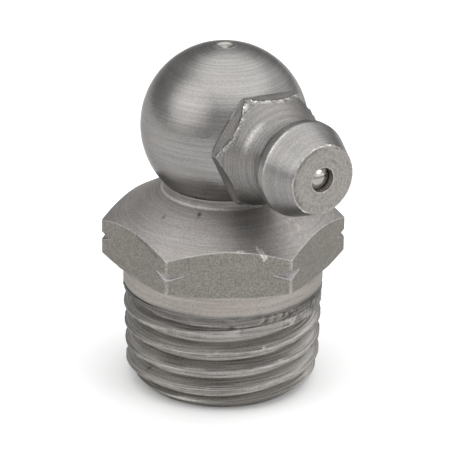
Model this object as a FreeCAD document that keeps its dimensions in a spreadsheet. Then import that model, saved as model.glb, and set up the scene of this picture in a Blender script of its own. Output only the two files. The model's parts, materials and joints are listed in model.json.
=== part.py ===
import FreeCAD, Part
import math
import os
import Sketcher

# A right-angle grease nipple, in millimetres and degrees.
# The nipple body is turned from 14 mm hexagon bar: a tapered pipe-thread shank, a plain collar,
# the spanner hexagon with a coned top, and a ball that carries the coupling head sideways.
# The coupling head is a smaller nipple turned from 7 mm hexagon bar. Its shank sits in the ball,
# and it holds the check ball and the valve spring.
# The shank stands on its end face. +Z runs up the shank and +X points the way the head does.

doc = FreeCAD.newDocument("grease_nipple")
dims = doc.addObject("Spreadsheet::Sheet", "Dims")

DRIVING = [
    # Threaded shank: an R 1/4 taper thread, and the plain collar above it
    ("thread_gauge_dia", 13.157),
    ("thread_gauge_length", 4.7),
    ("thread_taper", 0.0625),
    ("thread_length", 7.3),
    ("thread_pitch", 1.3368),
    ("thread_depth", 0.86),
    ("thread_flank_angle", 55),
    ("thread_root_width", 0.22),
    ("thread_lead_in", 1.5),
    ("thread_run_out", 0.95),
    ("thread_end_dia", 10.58),
    ("lead_angle", 40),
    ("collar_length", 1.4),
    # Spanner hexagon, with a notch turned round its corners and a coned top
    ("hex_flats", 14),
    ("hex_corner_height", 2.58),
    ("hex_foot_dia", 14.4),
    ("hex_foot_angle", 17),
    ("hex_notch_rise", 1.58),
    ("hex_notch_depth", 0.51),
    ("hex_notch_lower_angle", 37),
    ("hex_notch_upper_angle", 22),
    ("cone_angle", 30.5),
    ("bar_clearance", 0.1),
    # Neck and ball
    ("neck_dia", 7.9),
    ("neck_length", 0.45),
    ("neck_fillet", 0.6),
    ("ball_dia", 11),
    ("centre_mark_dia", 1.2),
    ("centre_mark_depth", 0.3),
    # Drilled passage up the shank, and the cross drilling that takes the coupling head
    ("passage_dia", 3.2),
    ("drill_point_angle", 118),
    ("spot_face_depth", 0.93),
    ("cross_drill_dia", 5),
    ("cross_drill_depth", 6),
    # Coupling head: shank, hexagon, flare, neck, land and nose. Pressing it in leaves it a little turned
    ("head_shank_dia", 6),
    ("head_shank_length", 2.75),
    ("head_shank_chamfer", 0.25),
    ("head_end_space", 0.3),
    ("head_hex_flats", 7),
    ("head_hex_turn", 56),
    ("head_hex_height", 0.61),
    ("head_hex_chamfer", 0.12),
    ("head_bevel_angle", 45),
    ("head_flare_dia", 7.48),
    ("head_flare_angle", 32),
    ("head_neck_dia", 4.9),
    ("head_neck_width", 0.68),
    ("head_flare_fillet", 0.8),
    ("head_shoulder_fillet", 0.3),
    ("head_shoulder_angle", 60),
    ("head_land_dia", 6.3),
    ("head_land_length", 0.58),
    ("head_nose_angle", 23.2),
    ("head_nose_dia", 4.55),
    # Valve inside the coupling head
    ("orifice_dia", 1.6),
    ("orifice_length", 0.5),
    ("seat_angle", 90),
    ("valve_bore_dia", 3),
    ("tail_lip_dia", 1.8),
    ("tail_lip_length", 0.4),
    ("check_ball_dia", 2.5),
    ("valve_gap", 0.02),
    ("spring_outer_dia", 2.6),
    ("spring_wire_dia", 0.3),
    ("spring_coils", 8),
]

DERIVED = [
    # Shank and collar: radii fall by half the taper for each millimetre towards the end
    ("thread_small_r", "thread_gauge_dia / 2 - thread_gauge_length * thread_taper / 2"),
    ("shank_end_r", "thread_end_dia / 2"),
    ("lead_top", "(thread_small_r - shank_end_r) / (tan(lead_angle) - thread_taper / 2)"),
    ("lead_top_r", "thread_small_r + lead_top * thread_taper / 2"),
    ("collar_r", "thread_small_r + thread_length * thread_taper / 2"),
    ("hex_foot", "thread_length + collar_length"),
    # Thread groove: its section where it starts, below the end face, and its climb
    ("groove_crest_r", "thread_small_r - thread_lead_in * thread_taper / 2"),
    ("groove_root_r", "groove_crest_r - thread_depth"),
    ("groove_mouth_r", "groove_crest_r + bar_clearance"),
    ("groove_flank", "(thread_depth + bar_clearance) * tan(thread_flank_angle / 2)"),
    ("groove_width", "thread_root_width + 2 * groove_flank"),
    ("groove_root_top", "groove_flank + thread_root_width"),
    ("groove_start", "-thread_lead_in"),
    ("groove_low", "groove_start - groove_width / 2"),
    ("groove_climb", "thread_lead_in + thread_length - thread_run_out"),
    ("groove_angle", "atan(thread_taper / 2)"),
    # Hexagon: the turned outline stands just outside the corners, so that the flats cut it clean
    ("hex_corner_r", "hex_flats / 2 / cos(30)"),
    ("turned_r", "hex_corner_r + bar_clearance"),
    ("hex_foot_r", "hex_foot_dia / 2"),
    ("hex_foot_edge", "hex_foot + (turned_r - hex_foot_r) * tan(hex_foot_angle)"),
    ("notch_r", "hex_corner_r - hex_notch_depth"),
    ("notch_floor", "hex_foot + hex_notch_rise"),
    ("notch_low", "notch_floor - (turned_r - notch_r) * tan(hex_notch_lower_angle)"),
    ("notch_high", "notch_floor + (turned_r - notch_r) * tan(hex_notch_upper_angle)"),
    ("cone_edge", "hex_foot + hex_corner_height - (turned_r - hex_corner_r) * tan(cone_angle)"),
    # Cone top: a fillet turns the cone's slope up into the neck
    ("neck_r", "neck_dia / 2"),
    ("cone_neck", "cone_edge + (turned_r - neck_r) * tan(cone_angle)"),
    ("neck_fillet_run", "neck_fillet / tan((90 + cone_angle) / 2)"),
    ("cone_top_r", "neck_r + neck_fillet_run * cos(cone_angle)"),
    ("cone_top", "cone_neck - neck_fillet_run * sin(cone_angle)"),
    ("neck_foot", "cone_neck + neck_fillet_run"),
    ("neck_top", "cone_neck + neck_length"),
    ("ball_r", "ball_dia / 2"),
    ("ball_height", "neck_top + sqrt(ball_r ^ 2 - neck_r ^ 2)"),
    ("ball_top", "ball_height + ball_r"),
    ("mark_r", "centre_mark_dia / 2"),
    ("mark_edge", "ball_height + sqrt(ball_r ^ 2 - mark_r ^ 2)"),
    ("mark_floor", "mark_edge - centre_mark_depth"),
    ("mark_over", "ball_top + centre_mark_depth"),
    # Passages
    ("passage_r", "passage_dia / 2"),
    ("passage_point", "ball_height + passage_r / tan(drill_point_angle / 2)"),
    ("head_seat", "ball_r - spot_face_depth"),
    ("spot_face_r", "sqrt(ball_r ^ 2 - head_seat ^ 2) + bar_clearance"),
    ("cross_r", "cross_drill_dia / 2"),
    ("cross_point_run", "cross_r / tan(drill_point_angle / 2)"),
    ("cross_tip", "head_seat - cross_drill_depth - cross_point_run"),
    ("cross_mouth", "cross_drill_depth + cross_point_run"),
    ("head_bore_floor", "cross_mouth - head_shank_length - head_end_space"),
    # Coupling head, measured along its axis from the end of its shank
    ("head_tail", "head_seat - head_shank_length"),
    ("head_shank_r", "head_shank_dia / 2"),
    ("head_shank_tip_r", "head_shank_r - head_shank_chamfer"),
    ("head_hex_r", "head_hex_flats / 2 / cos(30)"),
    ("head_turned_r", "head_hex_r + bar_clearance"),
    ("head_back_r", "head_hex_r - head_hex_chamfer"),
    ("head_back_edge", "head_shank_length + head_turned_r - head_back_r"),
    ("head_hex_front", "head_shank_length + head_hex_height"),
    ("head_bevel_foot", "head_hex_front - bar_clearance / tan(head_bevel_angle)"),
    ("head_flare_r", "head_flare_dia / 2"),
    ("head_flare_foot", "head_hex_front + (head_hex_r - head_flare_r) / tan(head_bevel_angle)"),
    ("head_neck_r", "head_neck_dia / 2"),
    ("flare_run", "(head_flare_r - head_neck_r) / tan(head_flare_angle)"),
    ("neck_back", "head_flare_foot + flare_run"),
    ("flare_fillet_run", "head_flare_fillet / tan((180 - head_flare_angle) / 2)"),
    ("flare_end", "neck_back - flare_fillet_run * cos(head_flare_angle)"),
    ("flare_end_r", "head_neck_r + flare_fillet_run * sin(head_flare_angle)"),
    ("neck_start", "neck_back + flare_fillet_run"),
    ("neck_front", "neck_back + head_neck_width"),
    ("shoulder_fillet_run", "head_shoulder_fillet / tan((180 - head_shoulder_angle) / 2)"),
    ("neck_end", "neck_front - shoulder_fillet_run"),
    ("shoulder_start", "neck_front + shoulder_fillet_run * cos(head_shoulder_angle)"),
    ("shoulder_start_r", "head_neck_r + shoulder_fillet_run * sin(head_shoulder_angle)"),
    ("head_land_r", "head_land_dia / 2"),
    ("land_back", "neck_front + (head_land_r - head_neck_r) / tan(head_shoulder_angle)"),
    ("land_front", "land_back + head_land_length"),
    ("head_nose_r", "head_nose_dia / 2"),
    ("nose_face", "land_front + (head_land_r - head_nose_r) / tan(head_nose_angle)"),
    # Valve: the ball touches the conical seat behind the orifice, less the valve gap
    ("orifice_r", "orifice_dia / 2"),
    ("valve_bore_r", "valve_bore_dia / 2"),
    ("tail_lip_r", "tail_lip_dia / 2"),
    ("seat_front", "nose_face - orifice_length"),
    ("seat_back", "seat_front - (valve_bore_r - orifice_r) / tan(seat_angle / 2)"),
    ("check_ball_r", "check_ball_dia / 2"),
    ("seat_apex", "seat_front + orifice_r / tan(seat_angle / 2)"),
    ("check_ball_mid", "seat_apex - check_ball_r / sin(seat_angle / 2) - valve_gap"),
    ("check_ball_x", "head_tail + check_ball_mid"),
    ("wire_r", "spring_wire_dia / 2"),
    ("spring_r", "spring_outer_dia / 2 - wire_r"),
    ("spring_back", "tail_lip_length + wire_r + valve_gap"),
    ("ball_to_wire", "sqrt((check_ball_r + wire_r) ^ 2 - spring_r ^ 2)"),
    ("spring_front", "check_ball_mid - ball_to_wire - valve_gap"),
    ("spring_length", "spring_front - spring_back"),
    ("spring_x", "head_tail + spring_back"),
]


# How far the waste circle reaches past a hexagon's corners, and the least volume that a cut must take
WASTE_RATIO = 1.5
LEAST_CUT = 1e-4
# The direction that a sketch turns about to stand upright
UPRIGHT = FreeCAD.Vector(1, 0, 0)


def fill_sheet():
    """Writes each size in a row of its own: its name in column A and its aliased cell in column B."""
    rows = [(name, str(number)) for name, number in DRIVING]
    rows += [(name, "=" + formula) for name, formula in DERIVED]
    for row, (name, content) in enumerate(rows, start=1):
        dims.set("A%d" % row, name)
        dims.set("B%d" % row, content)
        dims.setAlias("B%d" % row, name)
    doc.recompute()


def size(name):
    """The sheet's value of a size, where 0 stands for a point on the axis or the base line."""
    return 0.0 if name == 0 else float(getattr(dims, name))


def bind(item, path, name):
    item.setExpression(path, "Dims." + name)


def new_body(name):
    body = doc.addObject("PartDesign::Body", name)
    body.Label = name
    return body


def new_sketch(body, name, plane_role, shift):
    """A sketch on one of the body's own planes, moved by the sizes in shift, such as {"y": size}."""
    sketch = body.newObject("Sketcher::SketchObject", name)
    plane = [item for item in body.Origin.OriginFeatures if item.Role == plane_role][0]
    sketch.AttachmentSupport = [(plane, "")]
    sketch.MapMode = "FlatFace"
    for direction, shift_name in shift.items():
        bind(sketch, "AttachmentOffset.Base." + direction, shift_name)
    return sketch


def pin_point(sketch, edge, end, across, along):
    """Holds one end of an edge at two sizes of the sheet, or on the axes where they are 0."""
    for name, kind, axis in ((across, "DistanceX", -2), (along, "DistanceY", -1)):
        if name == 0:
            sketch.addConstraint(Sketcher.Constraint("PointOnObject", edge, end, axis))
        else:
            held = Sketcher.Constraint(kind, -1, 1, edge, end, size(name))
            bind(sketch, "Constraints[%d]" % sketch.addConstraint(held), name)


def arc_between(start, end, radius, turn):
    """The shorter arc from start to end, turning left (turn 1) or right (turn -1)."""
    chord = end - start
    rise = math.sqrt(radius ** 2 - (chord.Length / 2) ** 2)
    left = FreeCAD.Vector(-chord.y, chord.x, 0) / chord.Length
    centre = (start + end) / 2 + left * rise * turn
    first, last = (start, end) if turn > 0 else (end, start)
    first_angle = math.atan2(first.y - centre.y, first.x - centre.x)
    last_angle = math.atan2(last.y - centre.y, last.x - centre.x)
    circle = Part.Circle(centre, FreeCAD.Vector(0, 0, 1), radius)
    return Part.ArcOfCircle(circle, first_angle, last_angle)


def draw_outline(sketch, corners):
    """A closed outline through corners of (across, along).
    A corner with (radius, turn) added is reached by an arc instead of a straight line.
    """
    points = [FreeCAD.Vector(size(corner[0]), size(corner[1]), 0) for corner in corners]
    ends = []
    for number, corner in enumerate(corners):
        start, end = points[number - 1], points[number]
        if len(corner) == 2:
            edge = sketch.addGeometry(Part.LineSegment(start, end))
            ends.append((edge, 1, 2))
        else:
            radius_name, turn = corner[2:]
            edge = sketch.addGeometry(arc_between(start, end, size(radius_name), turn))
            ends.append((edge, 1, 2) if turn > 0 else (edge, 2, 1))
    for number, (edge, first, last) in enumerate(ends):
        next_edge, next_first, _ = ends[(number + 1) % len(ends)]
        sketch.addConstraint(Sketcher.Constraint("Coincident", edge, last, next_edge, next_first))
        pin_point(sketch, edge, last, corners[number][0], corners[number][1])
    for number, corner in enumerate(corners):
        if len(corner) > 2:
            held = Sketcher.Constraint("Radius", ends[number][0], size(corner[2]))
            bind(sketch, "Constraints[%d]" % sketch.addConstraint(held), corner[2])


def draw_circle(sketch, radius_name):
    """A circle about the sketch's origin."""
    centre = FreeCAD.Vector(0, 0, 0)
    circle = Part.Circle(centre, FreeCAD.Vector(0, 0, 1), size(radius_name))
    edge = sketch.addGeometry(circle)
    sketch.addConstraint(Sketcher.Constraint("Coincident", edge, 3, -1, 1))
    held = Sketcher.Constraint("Radius", edge, size(radius_name))
    bind(sketch, "Constraints[%d]" % sketch.addConstraint(held), radius_name)
    return edge


def draw_bar_section(sketch, corner_r_name, turn_name=0):
    """The waste round a hexagon bar: the hexagon inside a wide circle.
    Its first corner is on the sketch's X axis, or turned from it by a size of the sheet.
    """
    guide = draw_circle(sketch, corner_r_name)
    sketch.toggleConstruction(guide)
    corner_r = size(corner_r_name)
    angles = [math.radians(size(turn_name) + 60 * side) for side in range(7)]
    points = [FreeCAD.Vector(corner_r * math.cos(a), corner_r * math.sin(a), 0) for a in angles]
    sides = [sketch.addGeometry(Part.LineSegment(*points[n:n + 2])) for n in range(6)]
    for number, side in enumerate(sides):
        next_side = sides[(number + 1) % 6]
        sketch.addConstraint(Sketcher.Constraint("Coincident", side, 2, next_side, 1))
        sketch.addConstraint(Sketcher.Constraint("PointOnObject", side, 1, guide))
        if number:
            sketch.addConstraint(Sketcher.Constraint("Equal", sides[0], side))
    if turn_name == 0:
        sketch.addConstraint(Sketcher.Constraint("PointOnObject", sides[0], 1, -1))
    else:
        spoke = sketch.addGeometry(Part.LineSegment(FreeCAD.Vector(0, 0, 0), points[0]), True)
        sketch.addConstraint(Sketcher.Constraint("Coincident", spoke, 1, -1, 1))
        sketch.addConstraint(Sketcher.Constraint("Coincident", spoke, 2, sides[0], 1))
        held = Sketcher.Constraint("Angle", spoke, angles[0])
        bind(sketch, "Constraints[%d]" % sketch.addConstraint(held), turn_name + " * 1 deg")
    waste_r = WASTE_RATIO * corner_r
    waste = sketch.addGeometry(Part.Circle(FreeCAD.Vector(0, 0, 0), FreeCAD.Vector(0, 0, 1), waste_r))
    sketch.addConstraint(Sketcher.Constraint("Coincident", waste, 3, -1, 1))
    held = Sketcher.Constraint("Radius", waste, waste_r)
    formula = "%s * Dims.%s" % (WASTE_RATIO, corner_r_name)
    sketch.setExpression("Constraints[%d]" % sketch.addConstraint(held), formula)


def turned(body, name, sketch, axis):
    """Revolves an outline right round an axis of its sketch."""
    feature = body.newObject("PartDesign::Revolution", name)
    feature.Profile = sketch
    feature.ReferenceAxis = (sketch, [axis])
    feature.Angle = 360
    doc.recompute()


def must_remove(body, before, name):
    doc.recompute()
    if not body.Shape.Volume < before - LEAST_CUT:
        raise RuntimeError(name + " removed nothing")


def bored(body, name, sketch, axis):
    """Cuts a round form, such as a drilling, about an axis of its sketch."""
    before = body.Shape.Volume
    feature = body.newObject("PartDesign::Groove", name)
    feature.Profile = sketch
    feature.ReferenceAxis = (sketch, [axis])
    feature.Angle = 360
    must_remove(body, before, name)


def milled(body, name, sketch):
    """Cuts an outline from the sketch's plane through everything in front of it."""
    before = body.Shape.Volume
    feature = body.newObject("PartDesign::Pocket", name)
    feature.Profile = sketch
    feature.Type = "ThroughAll"
    feature.Reversed = True
    must_remove(body, before, name)


def make_thread_groove():
    """The thread's groove as a solid: its section swept along a conical helix, one segment a turn."""
    path = doc.addObject("Part::Helix", "ThreadPath")
    bind(path, "Pitch", "thread_pitch")
    bind(path, "Height", "groove_climb")
    bind(path, "Radius", "groove_crest_r")
    bind(path, "Angle", "groove_angle")
    bind(path, "Placement.Base.z", "groove_start")
    path.SegmentLength = 1
    section = doc.addObject("Sketcher::SketchObject", "ThreadSection")
    section.Placement = FreeCAD.Placement(FreeCAD.Vector(0, 0, 0), FreeCAD.Rotation(UPRIGHT, 90))
    bind(section, "Placement.Base.z", "groove_low")
    draw_outline(section, [
        ("groove_mouth_r", 0),
        ("groove_mouth_r", "groove_width"),
        ("groove_root_r", "groove_root_top"),
        ("groove_root_r", "groove_flank"),
    ])
    doc.recompute()
    groove = doc.addObject("Part::Sweep", "ThreadGroove")
    groove.Sections = [section]
    groove.Spine = (path, ["Edge%d" % (number + 1) for number in range(len(path.Shape.Edges))])
    groove.Solid = True
    groove.Frenet = True
    doc.recompute()
    return groove


def make_nipple_body():
    """The one-piece body: threaded shank, collar, notched hexagon, cone, neck and drilled ball."""
    body = new_body("unthreaded_body")
    outline = new_sketch(body, "BodyOutline", "XZ_Plane", {})
    draw_outline(outline, [
        (0, 0),
        ("shank_end_r", 0),
        ("lead_top_r", "lead_top"),
        ("collar_r", "thread_length"),
        ("collar_r", "hex_foot"),
        ("hex_foot_r", "hex_foot"),
        ("turned_r", "hex_foot_edge"),
        ("turned_r", "notch_low"),
        ("notch_r", "notch_floor"),
        ("turned_r", "notch_high"),
        ("turned_r", "cone_edge"),
        ("cone_top_r", "cone_top"),
        ("neck_r", "neck_foot", "neck_fillet", -1),
        ("neck_r", "neck_top"),
        (0, "ball_top", "ball_r", 1),
    ])
    turned(body, "TurnedForm", outline, "V_Axis")

    bar = new_sketch(body, "HexagonBar", "XY_Plane", {})
    draw_bar_section(bar, "hex_corner_r")
    milled(body, "HexagonFlats", bar)

    mark = new_sketch(body, "CentreMark", "XZ_Plane", {})
    draw_outline(mark, [
        (0, "mark_floor"),
        ("mark_r", "mark_edge"),
        ("mark_r", "mark_over"),
        (0, "mark_over"),
    ])
    bored(body, "CentreMarkCut", mark, "V_Axis")

    passage = new_sketch(body, "Passage", "XZ_Plane", {})
    draw_outline(passage, [
        (0, 0),
        ("passage_r", 0),
        ("passage_r", "ball_height"),
        (0, "passage_point"),
    ])
    bored(body, "PassageDrilling", passage, "V_Axis")

    face = new_sketch(body, "SpotFace", "YZ_Plane", {"y": "ball_height", "z": "head_seat"})
    draw_circle(face, "spot_face_r")
    milled(body, "SpotFaceCut", face)

    cross = new_sketch(body, "CrossDrilling", "XZ_Plane", {"x": "cross_tip", "y": "ball_height"})
    draw_outline(cross, [
        (0, 0),
        ("cross_point_run", "cross_r"),
        ("head_bore_floor", "cross_r"),
        ("head_bore_floor", "head_shank_r"),
        ("cross_mouth", "head_shank_r"),
        ("cross_mouth", 0),
    ])
    bored(body, "HeadBore", cross, "H_Axis")

    nipple = doc.addObject("Part::Cut", "nipple_body")
    nipple.Label = "nipple_body"
    nipple.Base = body
    nipple.Tool = make_thread_groove()
    must_remove(nipple, body.Shape.Volume, "ThreadGroove")
    return nipple


def make_coupling_head():
    """The small nipple in the ball: shank, hexagon, flare, neck, land, nose and valve bore."""
    body = new_body("coupling_head")
    place = {"x": "head_tail", "y": "ball_height"}
    outline = new_sketch(body, "HeadOutline", "XZ_Plane", place)
    draw_outline(outline, [
        (0, 0),
        ("nose_face", 0),
        ("nose_face", "head_nose_r"),
        ("land_front", "head_land_r"),
        ("land_back", "head_land_r"),
        ("shoulder_start", "shoulder_start_r"),
        ("neck_end", "head_neck_r", "head_shoulder_fillet", -1),
        ("neck_start", "head_neck_r"),
        ("flare_end", "flare_end_r", "head_flare_fillet", -1),
        ("head_flare_foot", "head_flare_r"),
        ("head_bevel_foot", "head_turned_r"),
        ("head_back_edge", "head_turned_r"),
        ("head_shank_length", "head_back_r"),
        ("head_shank_length", "head_shank_r"),
        ("head_shank_chamfer", "head_shank_r"),
        (0, "head_shank_tip_r"),
    ])
    turned(body, "HeadTurnedForm", outline, "H_Axis")

    bar = new_sketch(body, "HeadHexagonBar", "YZ_Plane", {"y": "ball_height", "z": "head_tail"})
    draw_bar_section(bar, "head_hex_r", "head_hex_turn")
    milled(body, "HeadHexagonFlats", bar)

    valve = new_sketch(body, "ValveBore", "XZ_Plane", place)
    draw_outline(valve, [
        (0, 0),
        ("nose_face", 0),
        ("nose_face", "orifice_r"),
        ("seat_front", "orifice_r"),
        ("seat_back", "valve_bore_r"),
        ("tail_lip_length", "valve_bore_r"),
        ("tail_lip_length", "tail_lip_r"),
        (0, "tail_lip_r"),
    ])
    bored(body, "ValveBoreCut", valve, "H_Axis")
    return body


def make_check_ball():
    """The steel ball that closes the orifice from behind."""
    ball = doc.addObject("Part::Sphere", "check_ball")
    ball.Label = "check_ball"
    bind(ball, "Radius", "check_ball_r")
    bind(ball, "Placement.Base.x", "check_ball_x")
    bind(ball, "Placement.Base.z", "ball_height")
    return ball


def make_valve_spring():
    """The wire spring between the turned-in lip of the head's shank and the check ball."""
    body = new_body("valve_spring")
    wire = new_sketch(body, "SpringWire", "XZ_Plane", {"x": "spring_x", "y": "ball_height"})
    radius = size("wire_r")
    centre = FreeCAD.Vector(0, size("spring_r"), 0)
    edge = wire.addGeometry(Part.Circle(centre, FreeCAD.Vector(0, 0, 1), radius))
    pin_point(wire, edge, 3, 0, "spring_r")
    held = Sketcher.Constraint("Radius", edge, radius)
    bind(wire, "Constraints[%d]" % wire.addConstraint(held), "wire_r")
    coil = body.newObject("PartDesign::AdditiveHelix", "SpringCoil")
    coil.Profile = wire
    coil.ReferenceAxis = (wire, ["H_Axis"])
    coil.Mode = "height-turns-angle"
    coil.Angle = 0
    bind(coil, "Height", "spring_length")
    bind(coil, "Turns", "spring_coils")
    doc.recompute()
    return body


def check_model(pieces):
    """Stops where a feature failed or a piece has no sound shape."""
    for item in doc.Objects:
        if "Invalid" in item.State or "Error" in item.State:
            raise RuntimeError(item.Name + " failed")
    for piece in pieces:
        if piece.Shape.isNull() or not piece.Shape.isValid() or len(piece.Shape.Solids) != 1:
            raise RuntimeError(piece.Label + " has no sound shape")


fill_sheet()
pieces = [make_nipple_body(), make_coupling_head(), make_check_ball(), make_valve_spring()]
doc.recompute()
check_model(pieces)
os.makedirs("parts", exist_ok=True)
for piece in pieces:
    piece.Shape.exportStep("parts/%s.step" % piece.Label)
    box = piece.Shape.BoundBox
    print("%-14s %8.2f mm3  x %6.2f..%6.2f  y %6.2f..%6.2f  z %6.2f..%6.2f" % (
        piece.Label, piece.Shape.Volume, box.XMin, box.XMax, box.YMin, box.YMax, box.ZMin, box.ZMax))
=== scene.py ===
# %% [markdown]
# A right-angle grease nipple, dressed for its portrait. On the bench it is four pieces of steel:
# a body turned from hexagon bar, a small coupling head pressed into the body's ball, a check ball
# and a valve spring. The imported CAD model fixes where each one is, so this script loads it first
# and takes its places from it. Everything below is worked out in millimetres and scaled once,
# when a mesh is made.

# %% The frame
import json
import math
from collections import namedtuple

import bmesh
import bpy
import numpy as np
from mathutils import Matrix, Vector

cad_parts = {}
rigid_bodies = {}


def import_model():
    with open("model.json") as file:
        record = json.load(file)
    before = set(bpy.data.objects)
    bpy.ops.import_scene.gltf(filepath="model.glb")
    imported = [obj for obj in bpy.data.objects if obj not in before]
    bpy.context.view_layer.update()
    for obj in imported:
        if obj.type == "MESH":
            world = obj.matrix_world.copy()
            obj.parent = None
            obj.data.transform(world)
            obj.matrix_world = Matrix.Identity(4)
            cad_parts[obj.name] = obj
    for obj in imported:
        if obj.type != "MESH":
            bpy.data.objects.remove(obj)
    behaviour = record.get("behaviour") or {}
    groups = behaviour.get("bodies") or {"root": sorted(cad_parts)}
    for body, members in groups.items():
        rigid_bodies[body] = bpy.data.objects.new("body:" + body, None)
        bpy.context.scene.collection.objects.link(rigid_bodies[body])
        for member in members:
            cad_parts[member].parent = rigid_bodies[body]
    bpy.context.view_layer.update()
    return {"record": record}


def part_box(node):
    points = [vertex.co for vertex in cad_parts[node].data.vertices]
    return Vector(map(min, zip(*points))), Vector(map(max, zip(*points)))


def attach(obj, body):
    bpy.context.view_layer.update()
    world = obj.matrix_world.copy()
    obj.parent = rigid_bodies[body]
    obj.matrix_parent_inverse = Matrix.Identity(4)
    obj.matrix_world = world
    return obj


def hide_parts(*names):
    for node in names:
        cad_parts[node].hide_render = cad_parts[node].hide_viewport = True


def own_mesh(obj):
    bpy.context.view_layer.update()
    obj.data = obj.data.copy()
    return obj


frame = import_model()
MM = 0.001
TINY = 1e-9


def node_box(name):
    """A CAD node's lowest and highest corners, in millimetres."""
    low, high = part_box(name)
    return low / MM, high / MM


mounts = {mount["name"]: mount for mount in frame["record"]["mounts"]}
head_height = mounts["coupling_land"]["pos_m"][2] / MM
print("head axis at height %.3f mm" % head_height)

# %% [markdown]
# Every piece here came off a lathe, so every piece can be one sheet wrapped round an axis. A plain
# Screw modifier would spin a fixed outline, but a spanner hexagon and a thread change the outline
# as it goes round. So the sheet is made as columns instead: each column is the outline at one angle,
# with the same number of points in each, and faces join neighbouring columns. Edges then follow
# the true corner curves, which a remesh or a boolean would leave ragged.
#
# The sheet also carries four marks for the materials. Wear marks bright rubbed or torn metal and
# also painted highlights, grime marks dirt and also painted shade and painted shadow in corners and
# under edges, and groove marks a painted reflection: how much pale metal a surface of the thread is
# painted as mirroring. The ring number is the same all round one ring of the turning, so that lathe
# lines follow the tool and not the columns. Beside the marks, the finish says which tool left the
# surface.

# %% A sheet of rows
MARKS = ("ring", "wear", "grime", "groove")


def strip(radius, height, finish, wear=0.0, grime=0.0, groove=0.0, ring=None):
    """Rows of a sheet, with one radius and height for each column, and what the material needs."""
    ring = height - radius if ring is None else ring
    layers = {"radius": radius, "height": height, "finish": finish}
    layers.update(ring=ring, wear=wear, grime=grime, groove=groove)
    return {key: np.broadcast_to(values, radius.shape).astype(float) for key, values in layers.items()}


def joined(strips):
    """One sheet from strips that follow each other along the outline."""
    return {key: np.concatenate([one[key] for one in strips]) for key in strips[0]}


def mark_more(sheet, mark, share):
    """Raises a mark to share wherever it is lower."""
    sheet[mark] = np.maximum(sheet[mark], share)


print("marks for the materials:", ", ".join(MARKS))

# %% Columns into a mesh
WELD = 1e-7


def wrapped_mesh(name, sheet, angles, placed):
    """A mesh from a sheet whose last column repeats the first.
    placed turns (across, up, along) into the part's frame.
    """
    rows, columns = sheet["radius"].shape
    across = sheet["radius"] * np.cos(angles)
    up = sheet["radius"] * np.sin(angles)
    points = placed(across, up, sheet["height"]).reshape(-1, 3) * MM
    corner = np.arange(rows - 1)[:, None] * columns + np.arange(columns - 1)
    faces = np.stack([corner, corner + 1, corner + columns + 1, corner + columns], axis=-1)
    mesh = bpy.data.meshes.new(name)
    mesh.from_pydata(points.tolist(), [], faces.reshape(-1, 4).tolist())
    for mark in MARKS:
        layer = mesh.attributes.new(mark, "FLOAT", "POINT")
        layer.data.foreach_set("value", sheet[mark].astype(np.float32).ravel())
    finish = sheet["finish"][:-1, :-1].astype(np.int32).ravel()
    mesh.polygons.foreach_set("material_index", finish)
    print("%s: %d rows of %d columns" % (name, rows, columns - 1))
    return mesh


def finished(mesh, sharp_angle, shape=None):
    """Welds repeated points, lets shape cut the mesh, and shades it smooth up to sharp_angle."""
    work = bmesh.new()
    work.from_mesh(mesh)
    bmesh.ops.remove_doubles(work, verts=work.verts, dist=WELD)
    bmesh.ops.dissolve_degenerate(work, edges=work.edges, dist=WELD)
    if shape:
        shape(work)
    bmesh.ops.recalc_face_normals(work, faces=work.faces)
    for face in work.faces:
        face.smooth = True
    work.to_mesh(mesh)
    work.free()
    mesh.set_sharp_from_angle(angle=math.radians(sharp_angle))
    return mesh


# %% A mesh into a piece
def new_piece(name, mesh, body, slot_name, *replaced):
    """An object for a finished mesh that rides on a body and stands for CAD nodes."""
    piece = bpy.data.objects.new(name, mesh)
    bpy.context.scene.collection.objects.link(piece)
    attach(piece, body)
    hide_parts(*replaced)
    triangles = sum(len(face.vertices) - 2 for face in mesh.polygons)
    print("%s: %d triangles" % (name, triangles))
    return piece


# %% [markdown]
# An outline is a list of corners. On real turned steel no corner is knife sharp, because the tool
# and the deburring leave a small break that catches the light, and a fillet is only a larger break.
# Each corner has a trim, the length that the break takes from both sides, and a count of points up
# to the next corner. Points crowd towards the corners, so that smooth shading stays tight there.

# %% Outline with broken corners
Corner = namedtuple("Corner", "radius height trim steps finish wear", defaults=(0.0,))
FILLET_TRIM = 0.1
FILLET_POINTS, BREAK_POINTS = 9, 3
TRIM_LIMIT = 0.45


def towards(start, end):
    """Unit steps from start to end, and zero where the two are in one place."""
    step = end - start
    length = np.linalg.norm(step, axis=-1, keepdims=True)
    return step / np.maximum(length, TINY)


def limited_trims(corners, place):
    """Each corner's trim for each column, less where its neighbours are close, none at the ends."""
    reach = np.linalg.norm(np.diff(place, axis=0), axis=-1)
    trims = np.zeros(place.shape[:2])
    for number in range(1, len(corners) - 1):
        shorter = np.minimum(reach[number - 1], reach[number])
        trims[number] = np.minimum(corners[number].trim, TRIM_LIMIT * shorter)
    return trims[..., None]


def broken_corner(before, here, after, trim, count):
    """Points on the small bend that takes a corner's place."""
    back = here + towards(here, before) * trim
    ahead = here + towards(here, after) * trim
    return [(1 - s) ** 2 * back + 2 * s * (1 - s) * here + s ** 2 * ahead for s in np.linspace(0, 1, count)]


def crowded(steps):
    """Shares of a line's length that crowd towards both its ends."""
    return [0.5 - 0.5 * math.cos(math.pi * step / (steps + 1)) for step in range(1, steps + 1)]


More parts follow.
